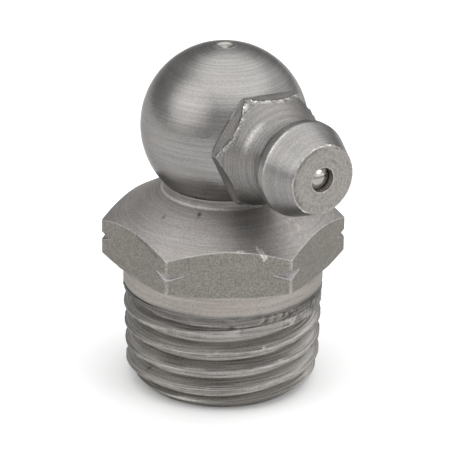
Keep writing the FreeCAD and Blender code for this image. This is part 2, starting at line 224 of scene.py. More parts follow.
def outline_rows(corners, columns):
    """A strip through corners, each given by numbers or by one value for each column."""
    radius = [np.broadcast_to(np.asarray(corner.radius, float), columns) for corner in corners]
    height = [np.broadcast_to(np.asarray(corner.height, float), columns) for corner in corners]
    place = np.stack([np.stack(radius), np.stack(height)], axis=-1)
    trims = limited_trims(corners, place)
    points, finish, wear = [], [], []
    for number, corner in enumerate(corners):
        here = place[number]
        bend, run = [here], []
        if corner.trim:
            count = FILLET_POINTS if corner.trim > FILLET_TRIM else BREAK_POINTS
            bend = broken_corner(place[number - 1], here, place[number + 1], trims[number], count)
        if number + 1 < len(corners):
            goal = place[number + 1]
            goal = goal + towards(goal, here) * trims[number + 1]
            run = [bend[-1] + (goal - bend[-1]) * share for share in crowded(corner.steps)]
        points += bend + run
        wear += [corner.wear * np.ones(columns)] * len(bend) + [np.zeros(columns)] * len(run)
        finish += [corner.finish] * (len(bend) + len(run))
    points = np.stack(points)
    return strip(points[..., 0], points[..., 1], np.array(finish)[:, None], np.stack(wear))


print("a small break has %d points, a fillet %d" % (BREAK_POINTS, FILLET_POINTS))

# %% [markdown]
# Burrs, torn crests and ragged rims need noise that moves points, not only bump, because they show
# in the silhouette. A small lattice of seeded random numbers with smooth steps between them does
# it for a whole sheet at once, and closes up round the axis. Where a flaw shows is given by bands,
# of angle or of height, that fade out softly on both sides.

# %% Bands and ragged metal
Band = namedtuple("Band", "low high soft")
Noise = namedtuple("Noise", "rows cells seed")
LATTICE_ROWS = 64


def eased(value, start, end):
    """0 up to start, 1 from end on and smooth between, with start and end either way round."""
    share = np.clip((value - start) / (end - start), 0, 1)
    return share * share * (3 - 2 * share)


def within(value, band):
    """1 inside a band, fading to 0 over its soft length on both sides."""
    risen = eased(value, band.low - band.soft, band.low)
    return risen * (1 - eased(value, band.high, band.high + band.soft))


def ragged(angles, height, noise):
    """Smooth noise from 0 to 1, with cells round the axis and rows to the millimetre."""
    table = np.random.default_rng(noise.seed).random((LATTICE_ROWS, noise.cells))
    steps = height * noise.rows
    across = np.broadcast_to(angles / (2 * math.pi) * noise.cells, np.shape(steps))
    column, row = np.floor(across).astype(int), np.floor(steps).astype(int)
    right, up = eased(across - column, 0, 1), eased(steps - row, 0, 1)
    left_column, right_column = column % noise.cells, (column + 1) % noise.cells
    low_row, high_row = row % LATTICE_ROWS, (row + 1) % LATTICE_ROWS
    low = table[low_row, left_column] * (1 - right) + table[low_row, right_column] * right
    high = table[high_row, left_column] * (1 - right) + table[high_row, right_column] * right
    return low * (1 - up) + high * up


print("half a soft length outside a band:", within(1.5, Band(0, 1, 1)))

# %% [markdown]
# The spanner hexagon is the bar itself. Its outline as seen from above is six flats whose corners
# were drawn with a small radius, and that radius is the thin bright line down each corner in the
# photograph. The angles of the columns are even all round, with a few extra at each corner and
# some more where a small scratch needs them.

# %% The hexagon bar
BORE, THREAD, COLLAR, FLAT, NOTCH, CONE, BALL = range(7)
nipple_low, nipple_high = node_box("nipple_body")
hex_flats = nipple_high.y - nipple_low.y
half_side = math.radians(30)
hex_corner_r = hex_flats / 2 / math.cos(half_side)
hex_corner_round = 0.2


def corner_offset(angles):
    """Degrees from the nearest corner of a hexagon that has a corner at angle 0."""
    return (np.degrees(angles) + 30) % 60 - 30


def hexagon_radius(angles, flats, rounding):
    """Distance from the axis to the side of a hexagon bar with rounded corners."""
    offset = np.radians(np.abs(corner_offset(angles)))
    side = flats / 2 / np.cos(half_side - offset)
    centre = flats / 2 / math.cos(half_side) - rounding / math.sin(2 * half_side)
    reach = np.sqrt(np.maximum(rounding ** 2 - (centre * np.sin(offset)) ** 2, 0))
    touch = math.atan2(rounding / 2, centre + rounding * math.cos(half_side))
    return np.where(offset < touch, centre * np.cos(offset) + reach, side)


def column_angles(corner_steps, extra=()):
    """Angles in radians once round, one a degree and extra ones beside each hexagon corner."""
    clear = corner_steps[-1] + 1 / 3
    even = np.arange(0, 360, 1.0)
    kept = even[np.abs((even + 30) % 60 - 30) > clear]
    beside = [60 * side + sign * step for side in range(6) for step in corner_steps for sign in (-1, 1)]
    every = np.concatenate([kept, np.array(beside) % 360, np.array(extra) % 360])
    degrees = np.unique(np.round(every, 4))
    return np.radians(np.append(degrees, 360))


scratch_azimuths = np.arange(-17.5, -8, 0.5)
body_angles = column_angles((0.0, 0.2, 0.4, 0.56, 0.85, 1.3), scratch_azimuths + 180) + math.pi
azimuth = (np.degrees(body_angles) + 180) % 360 - 180
print("hexagon %.2f mm over flats, %d columns" % (hex_flats, len(body_angles) - 1))

# %% [markdown]
# The shank carries a taper pipe thread of 19 turns to the inch. A thread is a groove with
# flanks 55 degrees apart that climbs one pitch in each turn, so the rows of the mesh climb with it
# and its crests stay clean lines. The groove is full depth low on the shank and runs out near the
# collar, where the threading die stopped: it fades across the front in the last turn, and on the
# right it tore the metal instead of cutting it.

# %% The thread's sizes
inch = 25.4
thread_pitch = inch / 19
thread_depth = 0.86
thread_half_angle = math.radians(27.5)
thread_root_half = 0.11
thread_length = 7.3
thread_top = 6.99
thread_gauge = 4.7
thread_gauge_r = 13.157 / 2
thread_taper = 1 / 16
front_azimuth = -33.13
front_crest_height = 5.73
lead_end_r = 10.58 / 2
lead_slope = math.tan(math.radians(40))


def crest_radius(height):
    """The taper: the radius over the crests at this height."""
    return thread_gauge_r + (height - thread_gauge) * thread_taper / 2


print("thread: pitch %.3f mm, %.2f mm over its first crest" % (thread_pitch, 2 * crest_radius(0)))

# %% [markdown]
# One turn of the groove is a fan of rows: crest, lower flank, root, upper flank, crest. The flanks
# of real bright steel mirror each other, which a rough shader does only in part, so each row also
# says how much paler its colour is painted there, a painted reflection. The rows at the root get
# painted shade and the rows just under each crest's edge get a painted shadow, and each crest is
# painted brighter, partly rubbed wear and partly a painted highlight. A wire-thin lip stands along
# each crest, pushed up by the die.

# %% One turn of the groove
shallow_heights = (6.12, 6.42)
shallow_loss = 0.62
run_out_heights = (6.3, 6.56)
flank_light = {1.0: 0.0, 0.93: 0.4, 0.65: 0.75, 0.35: 0.95, 0.08: 0.95, 0.0: 0.9}
under_light = 0.4
root_light = 0.8
root_flatness = 0.97
# Painted shade at the root and a painted shadow just under each crest's edge.
root_grime = 0.1
under_grime = 0.12
near_crest = 0.9
crest_lip = 0.02
lip_share = 0.3
crest_bright_from = (0.05, 0.5)


def groove_share(middle):
    """Depth of the groove whose middle is at this height, as a share of the full depth."""
    return (1 - shallow_loss * eased(middle, *shallow_heights)) * (1 - eased(middle, *run_out_heights))


def groove_rows(turn, angles):
    """Rows across one turn of the groove, from crest to crest: height, depth, wear and painted
    highlight, painted shade, painted reflection.
    """
    climb = thread_pitch * (np.degrees(angles) - front_azimuth) / 360
    middle = front_crest_height - thread_pitch / 2 + climb + turn * thread_pitch
    share = groove_share(middle)
    flank = share * thread_depth * math.tan(thread_half_angle)
    edge = thread_root_half + flank
    lip_run = lip_share * (thread_pitch / 2 - edge)
    level = np.zeros_like(middle)
    bright = eased(share, *crest_bright_from)
    lip = level - crest_lip * bright

    def flank_row(side, rise, grime, light):
        height = middle + side * (thread_root_half + flank * rise)
        depth = share * thread_depth * (1 - rise)
        return height, depth, bright * (rise == 1), share * grime, share * light

    rows = [(middle - thread_pitch / 2, level, bright, level, level)]
    rows.append((middle - edge - lip_run, lip, bright, level, level))
    for rise, light in flank_light.items():
        rows.append(flank_row(-1, rise, root_grime * (rise == 0), light))
    rows.append((middle, share * thread_depth * root_flatness, level, level, share * root_light))
    for rise in reversed(flank_light):
        grime = root_grime * (rise == 0) + under_grime * (rise > near_crest)
        rows.append(flank_row(1, rise, grime, under_light))
    rows.append((middle + edge + lip_run, lip, bright, level, level))
    return rows


print("one turn of the groove: %d rows" % len(groove_rows(0, body_angles)))

# %% [markdown]
# Three flaws finish the thread. Each crest was rolled over a little by the die, so it wanders in
# and out by a few hundredths and is chipped here and there. The torn metal on the right is a patch
# of small leaning ticks. Between the last turn and the collar the die only scraped the metal, which
# left a dull streaky band.

# %% The thread's flaws
crest_wander, wander_size = Noise(0.9, 90, 11), 0.035
crest_chips, chip_size, chip_ramp = Noise(2.2, 260, 12), 0.05, (0.72, 0.92)
fine_grit, grit_size = Noise(9, 240, 14), 0.014
torn_side = Band(-22, 75, 14)
torn_heights = Band(5.9, 7.2, 0.12)
torn_patches, patch_ramp = Noise(1.5, 40, 17), (0.3, 0.6)
torn_ticks = Noise(1, 180, 13)
tick_rows, tick_lean = 7, 0.25
tick_dent, hollow_ramp = 0.045, (0.5, 0.8)
tick_rise, proud_ramp = 0.03, (0.35, 0.1)
tick_wear, tick_wear_ramp = 0.45, (0.4, 0.2)
tick_grime, tick_grime_ramp = 0.6, (0.55, 0.75)
# Crests are painted brighter: partly rubbed wear, partly a painted highlight.
crest_wear_and_sheen, crest_wear_and_sheen_wander = 0.08, 0.3
scraped_heights = Band(6.42, 7.12, 0.1)
scraped_streaks, least_scraped, streak_share = Noise(11, 24, 16), 0.25, 0.5


def torn_share(height):
    """Where the die tore the metal, between the last full groove and the collar."""
    return within(azimuth, torn_side) * within(height, torn_heights)


def scraped_share(height):
    """Where the die only scraped the metal dull, under the collar."""
    streaks = ragged(body_angles, height, scraped_streaks)
    return within(height, scraped_heights) * (least_scraped + streak_share * streaks)


print("torn metal on %d columns" % (within(azimuth, torn_side) > 0).sum())

# %% [markdown]
# The rows of all turns together are the shank. Rows that would lie below the end face or above the
# thread's end are pressed flat there, and the lead, a 40 degree chamfer at the end face, takes
# whatever stands outside it. The die never touched the lead, so its painted reflection stays at one
# even level.

# %% The threaded shank
lead_light = 0.45
lead_fade = (-0.1, 0.35)
turns_of_thread = range(-5, 2)


def thread_strip(angles):
    """The shank's rows from the end face to the thread's end."""
    rows = [row for turn in turns_of_thread for row in groove_rows(turn, angles)]
    height, depth, wear, grime, groove = (np.stack(layer) for layer in zip(*rows))
    height = np.clip(height, 0, thread_top)
    wander = ragged(angles, height, crest_wander) - 0.5
    chips = eased(ragged(angles, height, crest_chips), *chip_ramp)
    radius = crest_radius(height) - depth
    radius = radius + wear * (wander_size * wander - chip_size * chips)
    radius = radius - grit_size * ragged(angles, height, fine_grit)
    tick = ragged(angles, height * tick_rows - np.degrees(angles) * tick_lean, torn_ticks)
    hollow, proud = eased(tick, *hollow_ramp), eased(tick, *proud_ramp)
    torn = torn_share(height) * eased(ragged(angles, height, torn_patches), *patch_ramp)
    radius = radius - torn * (tick_dent * hollow - tick_rise * proud)
    wear = wear * (crest_wear_and_sheen + crest_wear_and_sheen_wander * wander)
    wear = wear + torn * eased(tick, *tick_wear_ramp) * tick_wear
    grime = grime + torn * eased(tick, *tick_grime_ramp) * tick_grime + scraped_share(height)
    lead = lead_end_r + height / lead_slope
    clear_of_lead = eased(lead - radius, *lead_fade)
    wear = np.clip(wear * clear_of_lead, 0, 1)
    groove = lead_light + (groove - lead_light) * clear_of_lead
    ring = height - radius - thread_pitch * np.degrees(angles) / 360
    return strip(np.minimum(radius, lead), height, THREAD, wear, np.clip(grime, 0, 1), groove, ring)


threaded = thread_strip(body_angles)
print("thread: smallest radius %.2f mm" % threaded["radius"].min())

# %% [markdown]
# A narrow tool mark runs under the collar at the left and fades towards the front. It is too fine
# for the CAD model. Its section is given by heights and shares of its depth, and the same shares
# paint it darker, a painted shade in the mark's groove.

# %% The tool mark under the collar
tool_mark = {7.0: 0.0, 7.03: 0.15, 7.06: 0.8, 7.09: 1.0, 7.12: 0.8, 7.15: 0.15, 7.2: 0.0}
tool_mark_depth = 0.14
tool_mark_side = Band(-150, -88, 25)
tear_noise, tear_depth, tear_grime = Noise(6, 150, 15), 0.03, 0.3


def tool_mark_strip():
    """Rows from the thread's end to the plain collar, with the tool mark in them."""
    height = np.array(list(tool_mark))[:, None] * np.ones(len(azimuth))
    depth = np.array(list(tool_mark.values()))[:, None] * within(azimuth, tool_mark_side)
    torn = torn_share(height) * ragged(body_angles, height, tear_noise)
    radius = crest_radius(height) - tool_mark_depth * depth - tear_depth * torn
    dull = scraped_share(height)
    # The mark's depth shares also darken it here: painted shade.
    return strip(radius, height, THREAD, 0.0, np.clip(depth + torn * tear_grime + dull, 0, 1))


shank = joined([threaded, tool_mark_strip()])
print("shank: %d rows" % len(shank["radius"]))

# %% [markdown]
# Above the thread comes the plain collar, then the hexagon. The lathe turned a shallow cone under
# it, a V notch round its corners and a 30.5 degree cone on top. Where a turned surface crosses a
# flat the edge curves, highest in the middle of the flat, and each column finds its own crossing.

# %% The body's sizes above the thread
collar_r = crest_radius(thread_length)
collar_length = 1.4
hex_foot = thread_length + collar_length
hex_foot_r = 14.4 / 2
hex_foot_slope = math.tan(math.radians(17))
hex_corner_height = 2.58
notch_height = hex_foot + 1.58
notch_r = hex_corner_r - 0.51
notch_low_slope = math.tan(math.radians(37))
notch_high_slope = math.tan(math.radians(22))
cone_angle = math.radians(30.5)
neck_r = 7.9 / 2
neck_fillet_run = 0.6 / math.tan((math.radians(90) + cone_angle) / 2)
neck_length = 0.45
ball_r = 11 / 2
mark_r = 0.6
mark_depth = 0.3
passage_r = 1.6
passage_tip = 0.96

bar = hexagon_radius(body_angles, hex_flats, hex_corner_round)
foot_at_bar = hex_foot + np.maximum(bar - hex_foot_r, 0) * hex_foot_slope
notch_reach = np.maximum(bar - notch_r, 0)
in_notch = notch_reach > 0.02
notch_low = notch_height - notch_reach * notch_low_slope
notch_high = notch_height + notch_reach * notch_high_slope
cone_neck = hex_foot + hex_corner_height + (hex_corner_r - neck_r) * math.tan(cone_angle)
cone_at_bar = hex_foot + hex_corner_height + (hex_corner_r - bar) * math.tan(cone_angle)
neck_top = cone_neck + neck_length
mark_edge = head_height + math.sqrt(ball_r ** 2 - mark_r ** 2)
print("cone meets the neck at %.2f mm, ball from %.2f mm" % (cone_neck, neck_top))

# %% The body's outline above the thread
edge_break = 0.04
notch_break = 0.03

inside_corners = [
    Corner(0, head_height + passage_tip, 0, 1, BORE),
    Corner(passage_r, head_height, 0, 3, BORE),
    Corner(passage_r, 0, 0.08, 3, BORE),
    Corner(lead_end_r, 0, 0, 0, BORE),
]
outside_corners = [
    Corner(collar_r, thread_length, 0, 4, COLLAR),
    Corner(collar_r, hex_foot, edge_break, 1, COLLAR),
    Corner(np.minimum(hex_foot_r, bar), hex_foot, edge_break, 2, COLLAR),
    Corner(bar, foot_at_bar, edge_break, 6, FLAT, 0.15),
    Corner(bar, notch_low, notch_break, 4, NOTCH),
    Corner(np.minimum(bar, notch_r), notch_height, 0.02, 2, NOTCH),
    Corner(bar, notch_high, notch_break, 9, FLAT, 0.15 * in_notch),
    Corner(bar, cone_at_bar, edge_break, 28, CONE, 0.35),
    Corner(neck_r, cone_neck, neck_fillet_run, 1, CONE, 0.25),
    Corner(neck_r, neck_top, 0, 0, BALL),
]
print("outline: %d corners outside, %d inside" % (len(outside_corners), len(inside_corners)))

# %% [markdown]
# The ball is a plain arc of the outline, with rows close enough together that its edge stays round.
# At its top the lathe's centre drill left a shallow dimple.

# %% The ball and its centre mark
ball_rows = 50


def ball_strip(columns):
    """Rows up the ball from the neck to the edge of the centre mark."""
    first = math.asin((neck_top - head_height) / ball_r)
    last = math.acos(mark_r / ball_r)
    turns = np.linspace(first, last, ball_rows)[1:-1, None] * np.ones(columns)
    height = head_height + ball_r * np.sin(turns)
    return strip(ball_r * np.cos(turns), height, BALL, ring=ball_r * turns)


mark_corners = [
    Corner(mark_r, mark_edge, 0, 1, BALL, 0.3),
    Corner(mark_r - 0.07, mark_edge - 0.06, 0.02, 3, BORE, 0.3),
    Corner(0, mark_edge - mark_depth, 0, 0, BORE),
]

columns = len(body_angles)
body_sheet = joined([
    outline_rows(inside_corners, columns),
    shank,
    outline_rows(outside_corners, columns),
    ball_strip(columns),
    outline_rows(mark_corners, columns),
])
body_height = body_sheet["height"]
outside = body_sheet["radius"] > passage_r + 0.5
print("body: %.2f mm high" % body_height.max())

# %% [markdown]
# Handling rubs the hexagon's edges bright, but never evenly: the bright line along a corner comes
# and goes. So the wear that the corners ask for is broken up with noise, and the sharp vertical
# edges get a little of their own.

# %% Wear on the hexagon's edges
edge_wear, edge_degrees = 0.3, (0.5, 1.2)
edge_patches, least_worn, patch_share = Noise(5, 180, 21), 0.35, 0.9

edge_line = 1 - eased(np.abs(corner_offset(body_angles)), *edge_degrees)
mark_more(body_sheet, "wear", (body_sheet["finish"] == FLAT) * edge_line * edge_wear)
patchy = least_worn + patch_share * ragged(body_angles, body_height, edge_patches)
body_sheet["wear"] = body_sheet["wear"] * np.where(body_height > thread_length, patchy, 1)
print("edges: wear up to %.2f" % body_sheet["wear"][body_height > thread_length].max())

# %% [markdown]
# A few small marks are this one nipple's own: two bright scratches across the front edge of the
# cone with a third beside them, and pits on the cone and the thread. Each mark is a line between two
# places, given by azimuth and height, and its strength fades over its width. A scratch has a raised
# bright edge, and a pit is a little hollow that holds dirt.

# %% Scratches and pits
Mark = namedtuple("Mark", "start end width strength")
scratches = [
    Mark((-14.6, 12.02), (-12.2, 11.42), 0.11, 1.0),
    Mark((-12.6, 11.9), (-11.0, 11.5), 0.08, 1.0),
    Mark((-25.3, 11.94), (-22.6, 11.93), 0.12, 0.9),
]
pits = [
    Mark((-53.7, 13.38), (-53.0, 13.36), 0.14, 0.9),
    Mark((-80.2, 12.92), (-79.6, 12.9), 0.12, 0.7),
    Mark((-86.0, 11.85), (-68.0, 11.3), 0.1, 0.5),
    Mark((-87.8, 1.9), (-87.0, 1.9), 0.14, 0.9),
]
scratch_rise = 0.04
pit_dip = 0.02
mark_core = 0.4


def near_mark(sheet, mark):
    """1 on a mark and 0 from its width outwards, on the outside of the body."""
    def unrolled(degrees, height):
        across = np.radians(degrees) * sheet["radius"]
        return np.stack([across, height + 0 * across], axis=-1)

    start = unrolled(*mark.start)
    way = unrolled(*mark.end) - start
    here = unrolled(azimuth, sheet["height"]) - start
    share = np.sum(here * way, axis=-1) / np.maximum(np.sum(way * way, axis=-1), TINY)
    gap = np.linalg.norm(here - way * np.clip(share, 0, 1)[..., None], axis=-1)
    return eased(gap, mark.width, mark.width * mark_core) * outside * mark.strength


for kind, marks, move in (("wear", scratches, scratch_rise), ("grime", pits, -pit_dip)):
    for mark in marks:
        share = near_mark(body_sheet, mark)
        mark_more(body_sheet, kind, share)
        body_sheet["radius"] = body_sheet["radius"] + move * share
print("marks: %d scratches, %d pits" % (len(scratches), len(pits)))

# %% [markdown]
# The neck lies in the ball's shade, so it gets painted shade, with one painted highlight where its
# fillet turns to face the studio. The notch gets painted shade at its edge and painted light in its
# depth, and the cone has a patch of bright flecks on the right. These are only marks for the
# material, and no point moves.

# %% The neck, the notch and the cone
neck_shaded, neck_shade = Band(cone_neck + 0.04, neck_top - 0.12, 0.08), 0.55
neck_bright, neck_shine = Band(cone_neck - 0.1, cone_neck - 0.06, 0.05), 0.8
notch_depths, notch_turn = Band(0, 1.02, 0.05), (0.35, 0.75)
edge_grime, notch_depth_light = 0.6, 0.8
fleck_side, fleck_shine = Band(2, 50, 14), 0.35
fleck_noise, fleck_ramp = Noise(14, 180, 22), (0.75, 0.95)

# Painted shade over the neck, and a painted highlight along its fillet.
mark_more(body_sheet, "grime", neck_shade * within(body_height, neck_shaded) * outside)
mark_more(body_sheet, "wear", neck_shine * within(body_height, neck_bright) * outside)
notch_share = (body_height - notch_low) / np.maximum(notch_height - notch_low, 0.01)
in_facet = within(notch_share, notch_depths) * in_notch * outside
deep = eased(notch_share, *notch_turn)
# Painted shade at the notch's edge and painted light in its depth.
mark_more(body_sheet, "grime", edge_grime * in_facet * (1 - deep))
mark_more(body_sheet, "wear", notch_depth_light * in_facet * deep)
on_cone = (body_sheet["finish"] == CONE) * within(azimuth, fleck_side)
flecks = eased(ragged(body_angles, body_height, fleck_noise), *fleck_ramp)
mark_more(body_sheet, "wear", fleck_shine * flecks * on_cone)
print("notch facets on %d columns" % in_notch.sum())

# %% [markdown]
# The ball is cut flat at its side, square to the head's axis, where the coupling head seats. That is
# the one cut that no column can follow, so it is made on the finished mesh by a plane, and only on
# what lies above the neck.

# %% The body's mesh
seat_depth = 0.93
head_seat = ball_r - seat_depth


def upright(across, up, height):
    """Places a sheet whose axis is the shank's."""
    return np.stack([across, up, height], axis=-1)


def item_height(item):
    """The lowest height of a vertex, or of an edge's or a face's vertices."""
    corners = [item] if isinstance(item, bmesh.types.BMVert) else item.verts
    return min(corner.co.z for corner in corners)


def cut_seat(work):
    """Cuts the ball flat where the coupling head seats, and closes the cut."""
    everything = work.verts[:] + work.edges[:] + work.faces[:]
    ball_only = [item for item in everything if item_height(item) > neck_top * MM]
    bmesh.ops.bisect_plane(
        work, geom=ball_only, dist=WELD, plane_co=(head_seat * MM, 0, 0),
        plane_no=(1, 0, 0), clear_outer=True)
    rim = [edge for edge in work.edges if edge.is_boundary]
    bmesh.ops.holes_fill(work, edges=rim, sides=0)


body_mesh = wrapped_mesh("nipple_body", body_sheet, body_angles, upright)
finished(body_mesh, 40, cut_seat)
nipple = new_piece("turned_body", body_mesh, "nipple", "turned_steel", "nipple_body")

# %% [markdown]
# The coupling head is a second turned piece, lying on its side. It starts as 7 mm hexagon bar, and
# behind the nose it narrows to the neck that the grease gun's jaws grip. It stands 4 degrees off
# square because it was pressed in, so its hexagon is turned while its round parts look the same.

# %% The coupling head's sizes
HEAD_BORE, HEAD_BAR, HEAD_FLARE, HEAD_NOSE, HEAD_FACE = range(5)
head_low, head_high = node_box("coupling_head")
head_tail, nose_face = head_low.x, head_high.x
head_flats = 7
off_square = 4
head_turn = math.radians(60 - off_square)
head_corner_r = head_flats / 2 / math.cos(half_side)
head_back_r = head_corner_r - 0.12
head_corner_round = 0.08
head_shank_r = 3.0
head_hex_front = head_seat + 0.61
flare_r = 7.48 / 2
flare_foot = head_hex_front + head_corner_r - flare_r
flare_degrees = 32
flare_slope = math.tan(math.radians(flare_degrees))
head_neck_r = 4.9 / 2
neck_back = flare_foot + (flare_r - head_neck_r) / flare_slope
neck_front = neck_back + 0.68
flare_fillet_run = 0.8 / math.tan(math.radians((180 - flare_degrees) / 2))
shoulder_fillet_run = 0.3 / math.tan(math.radians(60))
land = mounts["coupling_land"]
land_r = land["dims"]["r_mm"]
land_back = land["pos_m"][0] / MM - land["dims"]["length_mm"] / 2
land_front = land["pos_m"][0] / MM + land["dims"]["length_mm"] / 2
nose_r = 4.55 / 2
orifice_r = 0.8
seat_front = nose_face - 0.5
valve_bore_r = 1.5
seat_back = seat_front - (valve_bore_r - orifice_r)
tail_chamfer = 0.25
tail_lip_r = 0.9
tail_lip_front = head_tail + 0.4
print("nose face at %.2f mm, land from %.2f to %.2f mm" % (nose_face, land_back, land_front))

# %% The coupling head's outline
head_angles = column_angles((0.0, 0.4, 0.8, 1.3, 2.0)) + head_turn
head_bar = hexagon_radius(head_angles - head_turn, head_flats, head_corner_round)
bevel_at_bar = head_hex_front + head_corner_r - head_bar
flare_at_bar = flare_foot + (flare_r - head_bar) / flare_slope
bar_front = np.where(head_bar > flare_r, bevel_at_bar, flare_at_bar)
back_break = np.maximum(head_bar - head_back_r, 0)
bar_break = 0.03

head_corners = [
    Corner(tail_lip_r, head_tail, 0, 1, HEAD_BORE),
    Corner(head_shank_r - tail_chamfer, head_tail, 0.05, 1, HEAD_BORE),
    Corner(head_shank_r, head_tail + tail_chamfer, 0.05, 2, HEAD_BORE),
    Corner(head_shank_r, head_seat, 0, 2, HEAD_BORE),
    Corner(head_bar - back_break, head_seat, bar_break, 1, HEAD_BAR, 0.5),
    Corner(head_bar, head_seat + back_break, bar_break, 10, HEAD_BAR, 0.3),
    Corner(head_bar, bar_front, edge_break, 3, HEAD_FLARE, 0.5),
    Corner(np.minimum(head_bar, flare_r), np.maximum(bar_front, flare_foot), bar_break, 34, HEAD_FLARE),
    Corner(head_neck_r, neck_back, flare_fillet_run, 2, HEAD_FLARE),
    Corner(head_neck_r, neck_front, shoulder_fillet_run, 2, HEAD_FLARE),
    Corner(land_r, land_back, 0.12, 2, HEAD_NOSE, 0.15),
    Corner(land_r, land_front, 0.1, 16, HEAD_NOSE, 0.3),
    Corner(nose_r, nose_face, 0.05, 14, HEAD_FACE, 0.35),
    Corner(orifice_r, nose_face, 0.06, 4, HEAD_BORE, 0.15),
    Corner(orifice_r, seat_front, 0.03, 3, HEAD_BORE),
    Corner(valve_bore_r, seat_back, 0, 2, HEAD_BORE),
    Corner(valve_bore_r, tail_lip_front, 0, 1, HEAD_BORE),
    Corner(tail_lip_r, tail_lip_front, 0, 1, HEAD_BORE),
    Corner(tail_lip_r, head_tail, 0, 0, HEAD_BORE),
]
head_sheet = outline_rows(head_corners, len(head_angles))
along_head = head_sheet["height"].copy()
turned_by = np.degrees(head_angles) % 360
print("head hexagon %.0f mm over flats, turned %d degrees" % (head_flats, off_square))

# %% [markdown]
# The photograph shows flaws that give this head its look. The first is a burr that the bevel tore
# along the hexagon's front edge, thickest on the left. It is a small move of the rows beside the
# edge, with a painted highlight where it stands out and a painted shadow at its foot and just behind
# it. The hexagon's back edge gets a painted highlight at one corner and painted shade elsewhere,
# where it meets the ball.

# %% The burr on the head's hexagon
coarse_burr, coarse_share = Noise(8, 70, 31), 0.6
fine_burr, fine_share = Noise(16, 180, 34), 0.4
burr_gaps, gap_ramp = Noise(0, 16, 36), (0.15, 0.6)
burr_level = 0.38
burr_reach, burr_size = 0.24, 0.2
thick_side, thick_more = Band(124, 176, 6), 0.6
thickest_side, thickest_more = Band(109, 122, 4), 1.3
burr_shine, burr_shine_ramp = 0.6, (-0.02, 0.25)
burr_foot_shade, burr_foot_shade_ramp = 0.6, (-0.1, -0.3)
foot_gap, foot_shade = Band(0.1, 0.2, 0.06), 0.45
kept_wear = 0.35
bright_back_side = Band(104, 134, 6)
back_line_place, back_shine = Band(head_seat - 0.01, head_seat + 0.12, 0.04), 0.5
back_shade_place, back_shade = Band(head_seat - 0.01, head_seat + 0.05, 0.03), 0.7


def moved_near(sheet, place, reach, inner_r, move):
    """Moves rows further out than inner_r in or out, most at the place and less to both sides."""
    share = np.maximum(1 - np.abs(sheet["height"] - place) / reach, 0) * (sheet["radius"] > inner_r)
    sheet["radius"] = sheet["radius"] + share * move
    return share


on_bar = head_sheet["radius"] > head_shank_r + 0.1
burr = coarse_share * ragged(head_angles, along_head, coarse_burr)
burr = burr + fine_share * ragged(head_angles, along_head, fine_burr) - burr_level
thicker = thick_more * within(turned_by, thick_side) + thickest_more * within(turned_by, thickest_side)
burr = burr * (eased(ragged(head_angles, along_head, burr_gaps), *gap_ramp) + thicker)
burr_share = moved_near(head_sheet, bar_front, burr_reach, head_shank_r, burr_size * burr)
head_sheet["wear"] = kept_wear * head_sheet["wear"]
# Painted highlight where the burr stands out, painted shadow at its foot and just behind it.
mark_more(head_sheet, "wear", burr_share * eased(burr, *burr_shine_ramp) * burr_shine)
mark_more(head_sheet, "grime", burr_share * eased(burr, *burr_foot_shade_ramp) * burr_foot_shade)
mark_more(head_sheet, "grime", within(bar_front - along_head, foot_gap) * on_bar * foot_shade)
bright_back = within(turned_by, bright_back_side)
back_line = back_shine * within(along_head, back_line_place)
back_shade_line = back_shade * within(along_head, back_shade_place)
# Painted highlight on the back edge at one corner, painted shade elsewhere.
mark_more(head_sheet, "wear", back_line * on_bar * bright_back)
mark_more(head_sheet, "grime", back_shade_line * on_bar * (1 - bright_back))
print("burr from %.2f to %.2f mm" % (burr_size * burr.min(), burr_size * burr.max()))

# %% [markdown]
# Next, a worn tool left a faint ridge on the flare, given a painted highlight, and the nose was
# faced off with a ragged rim that stands up most at the top, with painted highlights where it stands
# out. A broken line of painted shadow lies inside that rim, and dirt lies in pits of the face.

# %% The tool ridge and the nose's rim
ridge_place, ridge_reach, ridge_size, ridge_shine = 6.78, 0.3, 0.03, 0.5
ridge_side = Band(132, 152, 18)
rim_noise, rim_reach, rim_size = Noise(8, 70, 32), 0.14, 0.06
rim_shine, rim_shine_ramp = 0.6, (-0.1, 0.35)
rim_top_side, rim_top_rise, rim_top_more = Band(68, 112, 8), 0.2, 1.4
rim_left_side, rim_left_more = Band(190, 235, 10), 0.8
rim_everywhere = 0.8
shade_inside_rim, shaded_rim_side = Band(nose_r - 0.19, nose_r - 0.1, 0.05), Band(100, 215, 15)
rim_shadow, rim_shadow_ramp = 0.55, (-0.3, 0.2)
face_pit_noise, face_pit_ramp, pit_dirt = Noise(6, 48, 35), (0.8, 0.95), 0.5

on_ridge = within(turned_by, ridge_side)
ridge_share = moved_near(head_sheet, ridge_place, ridge_reach, head_neck_r, ridge_size * on_ridge)
# Painted highlight along the tool ridge.
mark_more(head_sheet, "wear", ridge_share * ridge_shine * on_ridge)
rim_top = within(turned_by, rim_top_side)
rim = ragged(head_angles, along_head, rim_noise) - 0.5 + rim_top_rise * rim_top
rim_burr = rim_everywhere + rim_top_more * rim_top + rim_left_more * within(turned_by, rim_left_side)
rim_share = moved_near(head_sheet, nose_face, rim_reach, nose_r - 0.06, rim_size * rim * rim_burr)
# Painted highlight where the rim stands out.
mark_more(head_sheet, "wear", rim_share * eased(rim, *rim_shine_ramp) * rim_shine * rim_burr)
# Painted shadow in a broken line inside the rim; the face's pits hold dirt.
inside_rim = within(head_sheet["radius"], shade_inside_rim)
inside_rim = inside_rim * within(turned_by, shaded_rim_side) * eased(rim, *rim_shadow_ramp)
face_pits = eased(ragged(head_angles, head_sheet["radius"], face_pit_noise), *face_pit_ramp)
on_face = (along_head > nose_face - 0.02) * (head_sheet["radius"] > orifice_r + 0.1)
mark_more(head_sheet, "grime", on_face * np.maximum(face_pits * pit_dirt, inside_rim * rim_shadow))
print("rim from %.2f to %.2f mm" % (rim_size * rim.min(), rim_size * rim.max()))

